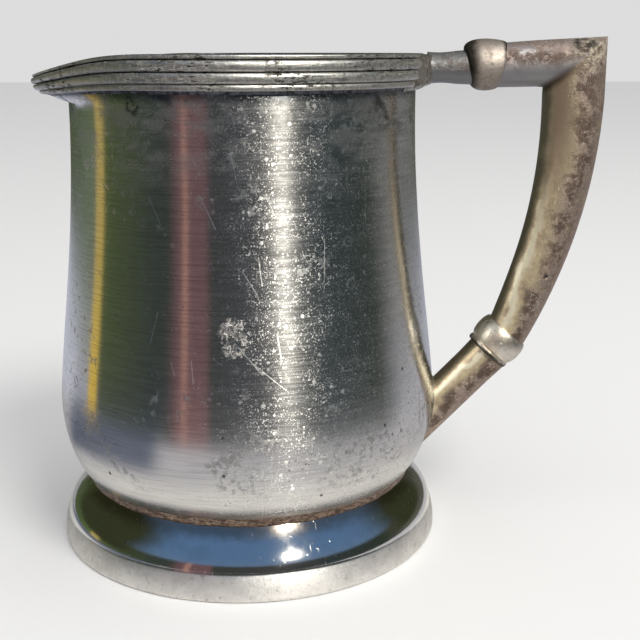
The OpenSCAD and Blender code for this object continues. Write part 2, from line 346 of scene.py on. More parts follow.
# ---- handle
ARM_Z = 89.9
HANDLE_REACH = 67.4
GRIP_CURVE_R = 100
HANDLE_DEPTH = 8.6
UPPER_KNUCKLE_R = 4.7
LOWER_KNUCKLE_R = 5.1
SIDES = 64
SQUARENESS = 2.15
ROOT_X = NECK_R + REED_OUT + 0.55
ROOT_HALF = 3.0
UPPER_KNUCKLE_X = 44.8
UPPER_KNUCKLE_C = np.array((UPPER_KNUCKLE_X, ARM_Z))
UPPER_KNUCKLE_HALF = 3.85
INTO_KNUCKLE = 1.6  # how far the root and the arm reach inside the bead
ARM_START_HALF = 4.0
CORNER_IN = np.array((55.9, ARM_Z - 4.1))
CORNER_OUT = np.array((HANDLE_REACH - 0.1, ARM_Z + 5.05))
CURVE_Z = 86
CURVE_C = np.array((HANDLE_REACH - GRIP_CURVE_R, CURVE_Z))
LOWER_KNUCKLE_C = np.array((49.2, 36.75))
LOWER_KNUCKLE_HALF = 3.0
LOWER_KNUCKLE_TURN = radians(-131)
GRIP_END_HALF = 4.2
LEG_START_HALF = 4.15
LEG_TURN = radians(-134)
LEG_HALF = 4.0
PAD = 0.5


def direction(angle):
    return np.array((cos(angle), sin(angle)))


def across(angle):
    return np.array((-sin(angle), cos(angle)))


def section(centre, half, depth):
    """A rounded outline across a limb: centre and half width are [x, z], depth is along Y."""
    a = full_turn(SIDES)
    u = np.sign(np.cos(a)) * np.abs(np.cos(a)) ** (2 / SQUARENESS)
    v = np.sign(np.sin(a)) * np.abs(np.sin(a)) ** (2 / SQUARENESS)
    return np.stack([centre[0] + half[0] * u, depth / 2 * v, centre[1] + half[1] * u], -1)


GRIP_END = LOWER_KNUCKLE_C - direction(LOWER_KNUCKLE_TURN) * LOWER_KNUCKLE_HALF
LEG_SIDE = across(LEG_TURN)
LEG_START = LOWER_KNUCKLE_C + direction(LOWER_KNUCKLE_TURN) * LOWER_KNUCKLE_HALF + LEG_SIDE * 0.3
LEG_MIDDLE = LEG_START + direction(LEG_TURN) * 4


def make_root():
    rings = []
    stations = np.linspace(ROOT_X, UPPER_KNUCKLE_X - UPPER_KNUCKLE_HALF + INTO_KNUCKLE, 14)
    for x in stations:
        along = (x - stations[0]) / (stations[-1] - stations[0])
        half = ROOT_HALF * (0.96 - 0.05 * sin(pi * min(1, along * 1.6)) + 0.10 * along**2)
        rings.append(section((x, ARM_Z - 0.55 + 0.1 * along), (0, half), HANDLE_DEPTH * 0.76))
    return loft("root_stub", rings)


def knuckle_line(r, half, low_end, high_end, collar):
    """A round bead between two end radii, given as parts of r, then a thin collar if collar is above 0."""
    t = 0.5 - 0.5 * np.cos(np.linspace(0, np.pi, 34))
    end = r * (low_end + (high_end - low_end) * t)
    swell = np.clip(1 - (2 * t - 1) ** 2, 0, 1) ** 0.5
    bead = np.stack([end + (r - end) * swell, -half + (2 * half - collar) * t], -1)
    if not collar:
        return bead
    edge = np.linspace(0, np.pi, 12)
    out = r * (high_end + 0.07 * np.sin(edge) ** 0.6)
    place = half - collar * (0.9 - 0.45 * (1 - np.cos(edge)))
    return np.concatenate([bead, np.stack([out, place], -1)])


def make_knuckle(name, centre, turn, r, half, low_end=0.84, high_end=0.84, collar=0, pinch=0):
    """A round bead whose axis is at the angle turn in the XZ plane; pinch is how much shorter it is below."""
    line = knuckle_line(r, half, low_end, high_end, collar)
    a = full_turn(96)
    along, side = direction(turn), across(turn)
    rings = []
    for radius, place in line:
        place = place * (1 - pinch * (0.5 - 0.5 * np.cos(a)))
        flat = centre + along * place[:, None] + side * (radius * np.cos(a))[:, None]
        rings.append(np.stack([flat[:, 0], radius * np.sin(a), flat[:, 1]], -1))
    return loft(name, rings[::-1])


MITRE_C = (CORNER_IN + CORNER_OUT) / 2
MITRE_HALF = (CORNER_OUT - CORNER_IN) / 2


def make_arm():
    start = UPPER_KNUCKLE_X + UPPER_KNUCKLE_HALF - INTO_KNUCKLE
    stations = [((start, ARM_Z - 0.12), (0, ARM_START_HALF), 0.95),
                ((54.5, ARM_Z + 0.2), (0, ARM_START_HALF + 0.2), 1),
                (MITRE_C, MITRE_HALF, 1)]
    rings = []
    for (c0, h0, d0), (c1, h1, d1) in zip(stations, stations[1:]):
        a, b = (section(c, h, HANDLE_DEPTH * d) for c, h, d in ((c0, h0, d0), (c1, h1, d1)))
        for t in np.linspace(0, 1, 9)[:-1]:
            rings.append(a + (b - a) * t)
    rings.append(section(MITRE_C, MITRE_HALF, HANDLE_DEPTH))
    return loft("arm_upper", rings)


def make_grip():
    top_half = 5.8
    last = asin((CURVE_Z - GRIP_END[1]) / (GRIP_CURVE_R - GRIP_END_HALF * 1.1))

    def half_at(t):
        return top_half + (GRIP_END_HALF - top_half) * t**1.15

    def centre(t):
        r = GRIP_CURVE_R - half_at(t)
        return CURVE_C + np.array((r * cos(last * t), -r * sin(last * t)))

    rings = [section(MITRE_C, MITRE_HALF, HANDLE_DEPTH)]
    for t in np.linspace(1 / 26, 1, 90):
        lean = max(0, (t - 0.7) / 0.3) ** 2
        place = centre(t) + (GRIP_END - centre(1)) * lean
        turn = last * t - (LOWER_KNUCKLE_TURN + pi / 2 + last) * lean
        half = np.array((cos(turn), -sin(turn))) * half_at(t)
        rings.append(section(place, half, HANDLE_DEPTH * (1 - 0.08 * t)))
    return loft("grip_limb", rings)


def outside_r(z):
    line = body_outline()
    return np.interp(z, line[:, 1], line[:, 0])


def leg_meet(points, gap):
    """Where lines from points along the leg meet the body's outside, gap away from it."""
    d = direction(LEG_TURN)
    along = np.full(len(points), 10.0)
    for _ in range(30):
        x, z = points[:, 0] + d[0] * along, points[:, 2] + d[1] * along
        along = along - (np.hypot(x, points[:, 1]) - outside_r(z) - gap) / d[0] * 0.8
    return np.stack([points[:, 0] + d[0] * along, points[:, 1], points[:, 2] + d[1] * along], -1)


def leg_end():
    """The leg's outline where it turns straight, its end against the pad, and the end's centre."""
    middle = section(LEG_MIDDLE, LEG_SIDE * LEG_HALF, HANDLE_DEPTH * 0.9)
    centre = leg_meet(np.array([[LEG_MIDDLE[0], 0, LEG_MIDDLE[1]]]), PAD)[0]
    return middle, leg_meet(middle, PAD), centre


def make_leg():
    first = section(LEG_START, across(LOWER_KNUCKLE_TURN) * LEG_START_HALF, HANDLE_DEPTH * 0.92)
    middle, last, centre = leg_end()
    rings = [first + (middle - first) * t for t in np.linspace(0, 1, 8)[:-1]]
    rings += [middle + (last - middle) * t for t in np.linspace(0, 1, 16)]
    return loft("leg_lower", rings, last_centre=centre)


def make_lower_solder():
    _, face, centre = leg_end()
    a = full_turn(SIDES)
    rings = [face]
    for spread, gap in ((0.25, 0.38), (0.5, 0.22), (0.7, 0.12), (0.7, 0.06)):
        far = np.linalg.norm(face[:, 1:] - centre[1:], axis=1)
        k = 1 + spread * (1 + 0.12 * np.sin(5 * a) + 0.1 * np.sin(9 * a + 1)) / 1.22 / far
        y, z = centre[1] + (face[:, 1] - centre[1]) * k, centre[2] + (face[:, 2] - centre[2]) * k
        rings.append(np.stack([np.sqrt((outside_r(z) + gap) ** 2 - y**2), y, z], -1))
    back = (outside_r(centre[2]) + 0.06, 0, centre[2])
    return loft("solder_pad_lower", rings, first_centre=centre, last_centre=back)


def make_upper_solder():
    """Lumpy solder that floods the reeds on both sides of the handle's root and climbs on to the root."""
    spread, flat = radians(27), radians(15)
    heights = np.linspace(BAND_LOW_Z - 0.75, RIM_Z - 0.04, 40)
    root_z, root_y = ROOT_HALF * 0.96, HANDLE_DEPTH * 0.38
    rings = []
    for a in np.linspace(-spread, spread, 91):
        run = min(1, (spread - abs(a)) / (spread - flat))
        fill = run * run * (3 - 2 * run)
        base = NECK_R + 0.5 + (REED_OUT - 0.42) * fill
        lumps = 0.05 * np.sin(37 * a + 1.7 * heights) + 0.05 * np.sin(61 * a - 2.9 * heights + 1)
        lumps += 0.04 * np.sin(101 * a + 4.3 * heights + 2)
        far = ((abs(base * sin(a)) / root_y) ** SQUARENESS
               + (np.abs(heights - ARM_Z + 0.55) / root_z) ** SQUARENESS) ** (1 / SQUARENESS) - 1
        climb = 1.0 * np.exp(-np.clip(far, 0, 9) * 3.2)
        ends = np.clip(np.minimum(heights - heights[0], (heights[-1] - heights) * 2.5) / 0.9, 0, 1) ** 0.5
        outer = np.stack([NECK_R + 0.02 + (base - NECK_R + lumps * fill + climb) * ends, heights], -1)
        inner = np.stack([np.full(6, NECK_R - 0.1), np.linspace(heights[-1], heights[0], 6)], -1)
        loop = np.concatenate([outer, inner])
        rings.append(np.stack([loop[:, 0] * cos(a), loop[:, 0] * sin(a), loop[:, 1]], -1))
    return loft("solder_saddle_upper", rings[::-1], smooth_angle=60)


# ---- build
def keep(obj, node, material):
    """Gives a finished mesh its metal and puts it in the place of a CAD node."""
    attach(obj, "root")
    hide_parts(node)
    obj.data.materials.clear()
    obj.data.materials.append(material)


WALL_R = 34  # mm, the radius at which marks are laid out flat round the wall


class Nodes:
    """Short calls that add nodes to one node tree."""

    def __init__(self, tree):
        self.tree = tree

    def feed(self, socket, value):
        """Links another node's output to the socket, or sets the socket to a constant."""
        if isinstance(value, bpy.types.NodeSocket):
            self.tree.links.new(value, socket)
        else:
            socket.default_value = value

    def node(self, kind, inputs=(), **settings):
        node = self.tree.nodes.new(kind)
        for key, value in settings.items():
            setattr(node, key, value)
        for key, value in dict(inputs).items():
            self.feed(node.inputs[key], value)
        return node

    def math(self, operation, *values, clamp=False):
        return self.node("ShaderNodeMath", enumerate(values), operation=operation, use_clamp=clamp).outputs[0]

    def fold(self, operation, values):
        total = values[0]
        for value in values[1:]:
            total = self.math(operation, total, value)
        return total

    def parts(self, vector):
        return self.node("ShaderNodeSeparateXYZ", {0: vector}).outputs

    def add(self, *values):
        return self.fold("ADD", values)

    def times(self, *values):
        return self.fold("MULTIPLY", values)

    def most(self, *values):
        return self.fold("MAXIMUM", values)

    def less(self, a, b):
        return self.math("SUBTRACT", a, b)

    def away(self, value):
        return self.less(1, value)

    def total(self, start, *parts):
        """The start and the parts, each a value and its weight, added up."""
        for value, weight in parts:
            start = self.add(start, self.times(value, weight))
        return start

    def step(self, value, low, high):
        """0 up to low, 1 from high on, and a smooth rise in between."""
        inputs = {"Value": value, "From Min": low, "From Max": high}
        return self.node("ShaderNodeMapRange", inputs, interpolation_type="SMOOTHSTEP").outputs[0]

    def fall(self, value, low, high):
        """1 up to low, 0 from high on."""
        return self.away(self.step(value, low, high))

    def between(self, value, rise, fall):
        """Goes up over rise and down over fall, each a low and a high."""
        return self.times(self.step(value, *rise), self.fall(value, *fall))

    def mix(self, factor, a, b):
        a, b = (c if isinstance(c, bpy.types.NodeSocket) else (*c, 1) for c in (a, b))
        return self.node("ShaderNodeMix", {0: factor, 6: a, 7: b}, data_type="RGBA").outputs[2]

    def coats(self, colour, *coats):
        """Colour under coats, first to last: where each one lies, how much it covers, its colour."""
        for where, cover, tint in coats:
            colour = self.mix(self.times(where, cover), colour, tint)
        return colour


class Shader(Nodes):
    """Calls that build one metal. Lengths in it are millimetres."""

    def __init__(self, name):
        self.material = bpy.data.materials.new(name)
        self.material.use_nodes = True
        super().__init__(self.material.node_tree)
        self.bsdf = self.tree.nodes["Principled BSDF"]
        metres = {0: self.node("ShaderNodeTexCoord").outputs["Object"], "Scale": 1 / MM}
        self.place = self.node("ShaderNodeVectorMath", metres, operation="SCALE").outputs[0]
        self.x, self.y, self.z = self.parts(self.place)
        angle = self.math("ARCTAN2", self.times(self.y, -1), self.times(self.x, -1))
        self.side = self.math("ARCTAN2", self.x, self.times(self.y, -1))  # radians right of the camera's side
        flat = {0: self.times(angle, WALL_R), 1: self.z, 2: 0}
        self.wrapped = self.node("ShaderNodeCombineXYZ", flat).outputs[0]

    def vector(self, operation, a, b):
        return self.node("ShaderNodeVectorMath", {0: a, 1: b}, operation=operation).outputs

    def stretch(self, factors, vector=None):
        return self.vector("MULTIPLY", vector or self.place, factors)[0]

    def shift(self, offset, vector=None):
        return self.vector("ADD", vector or self.place, offset)[0]

    def blots(self, low, high, *noise, **settings):
        """Where noise passes from low to high, 0 to 1."""
        return self.step(self.noise(*noise, **settings), low, high)

    def noise(self, scale, vector=None, detail=3, rough=0.55, warp=0):
        """Noise read at the place, at the place moved by a tuple in mm, or at another vector."""
        vector = self.shift(vector) if isinstance(vector, tuple) else vector or self.place
        inputs = {"Vector": vector, "Scale": scale, "Detail": detail, "Roughness": rough, "Distortion": warp}
        return self.node("ShaderNodeTexNoise", inputs).outputs[0]

    def cells(self, scale, vector=None, flat=False):
        return self.node("ShaderNodeTexVoronoi", {"Vector": vector or self.place, "Scale": scale},
                         voronoi_dimensions="2D" if flat else "3D")

    def picks(self, cells):
        """Chance numbers, 0 to 1, each the same all over a cell."""
        return self.node("ShaderNodeSeparateColor", {0: cells.outputs["Color"]}).outputs

    def spots(self, size, share, vector=None):
        """Round spots of mixed sizes on a share of cells that are size mm apart."""
        cells = self.cells(1 / size, vector)
        radius = self.times(self.step(self.picks(cells)[0], 1 - share, 1), 0.42)
        rough_edge = self.times(self.less(self.noise(3 / size), 0.5), 0.25)
        inside = self.less(radius, self.add(cells.outputs["Distance"], rough_edge))
        return self.step(inside, 0, 0.08)

    def hairs(self, size, width, share, lean, spread, vector=None):
        """Fine scratches, one to a cell of size mm, that lean (radians) with a random spread."""
        vector = vector or self.wrapped
        cells = self.cells(1 / size, vector, flat=True)
        x, y, _ = self.parts(self.vector("SUBTRACT", vector, cells.outputs["Position"])[0])
        pick = self.picks(cells)
        turn = self.add(self.times(self.less(pick[0], 0.5), 2 * spread), lean)
        level, upright = self.math("COSINE", turn), self.math("SINE", turn)
        across = self.math("ABSOLUTE", self.less(self.times(x, upright), self.times(y, level)))
        along = self.math("ABSOLUTE", self.add(self.times(x, level), self.times(y, upright)))
        line = self.times(self.fall(across, width * 0.3, width),
                          self.fall(along, size * 0.25, size * 0.5))
        return self.times(line, self.step(pick[1], 1 - share, 1.15 - share))

    def scores(self, turn, length, width, share, seed):
        """Long fine scratches of mixed lengths that all run near the direction turn (radians) on the wall."""
        inputs = {"Vector": self.wrapped, "Angle": turn}
        vector = self.node("ShaderNodeVectorRotate", inputs, rotation_type="Z_AXIS").outputs[0]
        vector = self.stretch((1 / length, 1 / width, 1), self.shift((0, 0, seed), vector))
        return self.step(self.noise(1, vector, detail=2, rough=0.5, warp=0.15), 0.80 - share, 0.88 - share)

    def ball(self, place, radius):
        """A round mark on the surface near a place in mm."""
        gap = self.vector("DISTANCE", self.place, place)["Value"]
        return self.fall(gap, radius * 0.6, radius)

    def stroke(self, turn_a, z_a, turn_b, z_b, width):
        """One straight scratch on the wall; a turn is in radians right of the camera's side."""
        u, v = self.less(self.times(self.side, WALL_R), turn_a * WALL_R), self.less(self.z, z_a)
        run, rise = (turn_b - turn_a) * WALL_R, z_b - z_a
        reach = self.add(self.times(u, run), self.times(v, rise))
        along = self.math("MULTIPLY", reach, 1 / (run * run + rise * rise), clamp=True)
        du = self.less(u, self.times(along, run))
        dv = self.less(v, self.times(along, rise))
        gap = self.math("SQRT", self.add(self.times(du, du), self.times(dv, dv)))
        gap = self.add(gap, self.times(self.noise(1.5, detail=2), 0.12))
        return self.fall(gap, 0.05, 0.06 + width)

    def gouge(self, turn, z, half_turn, half_z):
        """A ragged patch of deep scores: where the metal is cut bright, and where it is dark."""
        u = self.times(self.less(self.side, turn), 1 / half_turn)
        v = self.times(self.less(self.z, z), 1 / half_z)
        middle = self.fall(self.add(self.times(u, u), self.times(v, v)), 0.2, 1)
        ragged = self.times(self.noise(0.55, detail=6, rough=0.75), 2.6)
        inside = self.step(self.add(middle, ragged), 2.15, 2.35)
        streaks = self.stretch((1.3, 1.3, 0.6), self.shift((2, 5, 5)))
        cut = self.step(self.noise(1, streaks, detail=6, rough=0.75), 0.55, 0.59)
        dark = self.step(self.noise(0.9, (1, 2, 5), detail=6, rough=0.75), 0.48, 0.54)
        return self.times(inside, cut), self.times(inside, dark)

    def mark(self, name):
        return self.node("ShaderNodeAttribute", attribute_name=name).outputs["Fac"]

    def wire(self, **inputs):
        """Feeds the metal's own inputs; _ in a name stands for a space."""
        for key, value in inputs.items():
            self.feed(self.bsdf.inputs[key.replace("_", " ")], value)

    def finish(self, colour, roughness, height, metallic=1, anisotropy=0, turned=False):
        """Wires colour, roughness and a height in mm into the shader."""
        bump = self.node("ShaderNodeBump", {"Height": height, "Distance": MM, "Strength": 1}).outputs[0]
        self.wire(Base_Color=colour, Anisotropic=anisotropy, Roughness=roughness, Metallic=metallic,
                  Normal=bump)
        if turned:
            tangent = self.node("ShaderNodeTangent", direction_type="RADIAL", axis="Z").outputs[0]
            self.wire(Anisotropic_Rotation=0.25, Tangent=tangent)
        return self.material


GOUGE_TURN, GOUGE_Z = 0, 47  # the gouged place: radians right of the camera's side, and height in mm
GOUGE_HALF_TURN, GOUGE_HALF_Z = 4 / 35, 5  # radians, mm
LOOSE_SCRATCHES = 8
# Heights in mm over which marks, and the painted shade, on the wall come or go
# Painted shade: the belly is coloured brown just above the seam where it meets the foot.
WAIST_SHADE = (13.6, 16.6)
TURNED_UNDER = ((17, 21), (27, 34))
HOLES = (36, 44)
NECK_STAIN = (66, 84)
SOOT = (77, 82)
# Painted shade: just under the rim moulding the wall is coloured dark blue-grey.
SHADE_UNDER_RIM = (83.8, 85.6)


def loose_scratches():
    """Deep scratches on the side the jug shows: turn and height of each end, and width in mm."""
    draw = random.Random(11)
    for _ in range(LOOSE_SCRATCHES):
        turn, z = draw.uniform(-0.5, 0.7), draw.uniform(42, 70)
        yield turn, z, turn + draw.uniform(-0.05, 0.08), z - draw.uniform(2, 6), draw.uniform(0.10, 0.15)


def body_metal():
    """Polished silver: turning lines, specks, scratches, pits, tarnish by the neck, corroded patches, and
    painted shade under the rim and above the waist.
    """
    g = Shader("worn_silver_body")
    patches = g.noise(0.11, detail=4)
    lines = g.noise(1, g.stretch((0.11, 0.11, 3.4)), detail=5, rough=0.78)
    wide_lines = g.noise(1, g.stretch((0.05, 0.05, 1.1)), detail=2)
    grain = g.noise(2.6, rough=0.75)
    rubbed = g.blots(0.36, 0.64, 0.16, (3, 8, 5), detail=4, rough=0.6)
    front = g.add(0.15, g.times(g.step(g.x, -9, 5), 0.85))
    dots = g.most(g.spots(0.42, 0.45), g.spots(0.95, 0.22, g.shift((4, 4, 1))))
    dots = g.times(dots, g.add(0.35, g.times(rubbed, 0.65)))
    dust = g.times(g.blots(0.62, 0.72, 5, (7, 1, 1), detail=1), g.add(0.3, g.times(rubbed, 0.7)))
    specks = g.times(g.most(dots, dust), front)
    line_frost = g.step(lines, 0.46, 0.62)
    short = g.times(g.hairs(0.8, 0.05, 0.3, 0.0, 1.6), rubbed)
    scratch = g.most(short, g.hairs(9, 0.05, 0.3, 2.0, 0.5, g.shift((3, 4, 0), g.wrapped)))
    scores = ((0.35, 2.5, 0.14, 0.10, 3), (-0.6, 3.0, 0.15, 0.10, 8), (1.2, 3.5, 0.15, 0.10, 15),
              (2.2, 2.2, 0.14, 0.10, 21))
    scratch = g.most(scratch, *(g.scores(*score) for score in scores))
    scratch = g.times(scratch, g.add(0.35, g.times(front, 0.65)))
    gouge, gouge_dark = g.gouge(GOUGE_TURN, GOUGE_Z, GOUGE_HALF_TURN, GOUGE_HALF_Z)
    tail = g.stroke(GOUGE_TURN, GOUGE_Z - 1, GOUGE_TURN + 0.12, GOUGE_Z - 6, 0.12)
    scratch = g.most(scratch, gouge, tail, *(g.stroke(*ends) for ends in loose_scratches()))
    pit_area = g.blots(0.5, 0.6, 0.075, (0, 40, 9))
    turned_under = g.between(g.z, *TURNED_UNDER)
    pits = g.times(g.spots(0.55, 0.3), pit_area, g.add(0.25, g.times(turned_under, 0.75)))
    corrosion = g.times(turned_under, g.blots(0.5, 0.6, 0.09, (5, 2, 8)))
    corroded = g.times(corrosion, g.blots(0.48, 0.6, 0.75, (9, 1, 5), detail=6, rough=0.72))
    blotch = g.times(g.blots(0.56, 0.66, 0.55, detail=5, rough=0.65), pit_area)
    blotch = g.most(blotch, corroded)
    neck_stain = g.times(g.step(g.z, *NECK_STAIN),
                         g.blots(0.42, 0.66, 0.16, g.stretch((1, 1, 1.8)), detail=8, rough=0.75))
    sooty = g.times(g.step(g.z, *SOOT), g.blots(0.5, 0.6, 0.13, (3, 6, 1)))
    soot = g.times(sooty, g.blots(0.42, 0.56, 0.5, (1, 1, 8), detail=6, rough=0.7))
    # Painted shade under the rim moulding: the wall there is darkened to a blue-grey.
    painted_shade_under_rim = g.step(g.z, *SHADE_UNDER_RIM)
    # Painted shade: brown over the belly's last few mm above the seam, also made rougher.
    painted_shade_at_waist = g.fall(g.add(g.z, g.times(g.noise(0.5, detail=4), 1.5)), *WAIST_SHADE)
    ring_cells = g.cells(1 / 6.5)
    ring_pick = g.picks(ring_cells)
    ring_gap = g.math("ABSOLUTE", g.less(ring_cells.outputs["Distance"], g.times(ring_pick[0], 0.16)))
    rings = g.times(g.fall(ring_gap, 0.005, 0.04), g.step(ring_pick[1], 0.7, 0.78), grain)
    colour = g.mix(patches, (0.7, 0.71, 0.72), (0.84, 0.82, 0.79))
    colour = g.coats(
        colour,
        (g.fall(lines, 0.36, 0.58), 0.36, (0.3, 0.3, 0.3)),
        (neck_stain, 0.8, (0.2, 0.195, 0.18)),
        (soot, 0.85, (0.05, 0.05, 0.04)),
        # painted shade under the rim moulding
        (painted_shade_under_rim, 0.8, (0.1, 0.11, 0.13)),
        # brown painted shade above the seam
        (painted_shade_at_waist, 0.8, (0.3, 0.22, 0.165)),
        (blotch, 0.5, (0.2, 0.2, 0.2)),
        (specks, 0.5, (0.9, 0.9, 0.88)),
        (scratch, 0.7, (0.95, 0.94, 0.91)),
        (rings, 0.35, (0.9, 0.9, 0.88)))
    holes = g.times(g.spots(1.1, 0.015), g.fall(g.z, *HOLES))
    pits = g.most(pits, holes, gouge_dark)
    colour = g.mix(g.times(pits, 0.8), colour, (0.08, 0.07, 0.06))
    haze = g.times(front, g.add(0.045, g.times(rubbed, 0.015)))
    roughness = g.total(g.add(0.15, haze), (specks, 0.26), (line_frost, g.times(front, 0.05)),
                        (neck_stain, 0.08), (blotch, 0.15), (pits, 0.2), (rings, 0.15), (painted_shade_at_waist, 0.16),
                        (scratch, 0.24), (soot, 0.2))
    height = g.total(g.times(lines, 0.004), (wide_lines, 0.0015), (grain, 0.0015), (specks, 0.006),
                     (scratch, -0.004), (gouge, 0.012), (pits, -0.02), (blotch, -0.01))
    dull = g.add(g.times(neck_stain, 0.18), g.times(blotch, 0.1))
    return g.finish(colour, roughness, height, metallic=g.away(dull), anisotropy=0.9, turned=True)


def rim_metal():
    """Reeds dulled and scuffed on their crests, with black dirt in the grooves and corroded clusters."""
    g = Shader("worn_silver_rim")
    groove = g.step(g.mark("groove"), 0.35, 0.95)
    around = g.stretch((0.5, 0.5, 1.5))
    stain = g.blots(0.4, 0.62, 0.8, around, detail=6, rough=0.7)
    bad = g.blots(0.46, 0.56, 0.13, (2, 1, 3))
    chips = g.times(g.blots(0.53, 0.58, 1.5, g.shift((8, 0, 0), around), detail=6, rough=0.75), bad)
    specks = g.times(g.blots(0.57, 0.66, 2.6, rough=0.7), stain)
    scuffs = g.noise(1, g.stretch((3.0, 3.0, 0.9)), detail=4, rough=0.75)
    lines = g.noise(1, g.stretch((0.2, 0.2, 4)), rough=0.7)
    colour = g.coats(
        (0.7, 0.695, 0.67),
        (stain, 0.6, (0.34, 0.33, 0.3)),
        (g.fall(scuffs, 0.35, 0.6), 0.5, (0.24, 0.235, 0.22)),
        (specks, 0.6, (0.9, 0.88, 0.82)),
        (chips, 0.95, (0.05, 0.045, 0.04)),
        (groove, g.add(0.6, g.times(stain, 0.35)), (0.03, 0.03, 0.03)))
    roughness = g.total(0.34, (stain, 0.1), (chips, 0.3), (groove, 0.3), (scuffs, 0.1))
    height = g.total(g.times(lines, 0.012), (g.noise(2.5, detail=4), 0.035), (scuffs, 0.012), (chips, -0.08),
                     (stain, -0.015))
    return g.finish(colour, roughness, height, metallic=g.away(g.times(stain, 0.15)))


def foot_metal():
    """A polished cove, a brown edge by the seam that is partly tarnish and partly painted shade, and a dull
    stained band below the crease.
    """
    g = Shader("worn_silver_foot")
    stain = g.blots(0.45, 0.65, 0.3, detail=5, rough=0.6)
    mottle = g.blots(0.4, 0.62, 0.26, (6, 6, 1), detail=7, rough=0.7)
    spots = g.blots(0.56, 0.66, 1.1, (4, 0, 2), detail=5, rough=0.7)
    lines = g.noise(1, g.stretch((0.12, 0.12, 5)), detail=2)
    scratch = g.times(g.hairs(1.1, 0.035, 0.3, 1.2, 1.2), g.blots(0.42, 0.58, 0.2))
    scores = ((0.5, 1.6, 0.10, 0.09, 4), (1.5, 1.5, 0.10, 0.09, 9))
    scratch = g.most(scratch, *(g.scores(*score) for score in scores))
    band = g.fall(g.z, CREASE_Z - 0.75, CREASE_Z - 0.2)
    # Brown by the seam: partly tarnish, partly painted shade where the cove meets the seam.
    tarnish_and_shade_by_seam = g.step(g.add(g.z, g.times(g.noise(0.5, detail=4), 1.4)), 9.9, 12.0)
    colour = g.coats(
        (0.82, 0.82, 0.81),
        (stain, 0.3, (0.58, 0.56, 0.53)),
        (band, 0.5, (0.86, 0.84, 0.82)),
        (g.times(mottle, band), 0.4, (0.56, 0.54, 0.54)),
        (g.times(spots, band), 0.45, (0.34, 0.32, 0.3)),
        (tarnish_and_shade_by_seam, 0.75, (0.28, 0.215, 0.16)),
        (scratch, 0.6, (0.93, 0.92, 0.9)))
    roughness = g.total(0.085, (band, 0.36), (stain, 0.03), (tarnish_and_shade_by_seam, 0.04), (scratch, 0.2))
    height = g.total(g.times(lines, 0.005), (g.noise(2.2), g.add(0.004, g.times(band, 0.03))),
                     (scratch, -0.004), (g.times(mottle, band), 0.01))
    return g.finish(colour, roughness, height, anisotropy=0.6, turned=True)


def solder(name, light, dark, roughness=0.38, run=(1, 1, 1), lump=0.22):
    """Solder left as it set; run stretches its marks, for a bead that was wiped along."""
    g = Shader(name)
    place = g.stretch(run)
    lumps = g.noise(1.4, place, detail=5, rough=0.7)
    stain = g.blots(0.42, 0.62, 0.8, place, detail=5, rough=0.65)
    pits = g.blots(0.58, 0.63, 1.7, g.shift((3, 3, 3), place), detail=4, rough=0.7)
    colour = g.mix(stain, light, dark)
    colour = g.mix(g.times(pits, 0.9), colour, (0.05, 0.04, 0.035))
    rough = g.total(roughness, (stain, 0.15), (pits, 0.2))
    return g.finish(colour, rough, g.add(g.times(lumps, lump), g.times(pits, -0.1)))


# Place and radius in mm of the corner's nick and of the grip's vent mark
NICK = (62.6, -2.4, 93.6), 2.6
VENT = (57.6, -HANDLE_DEPTH / 2, 50.4), 0.75


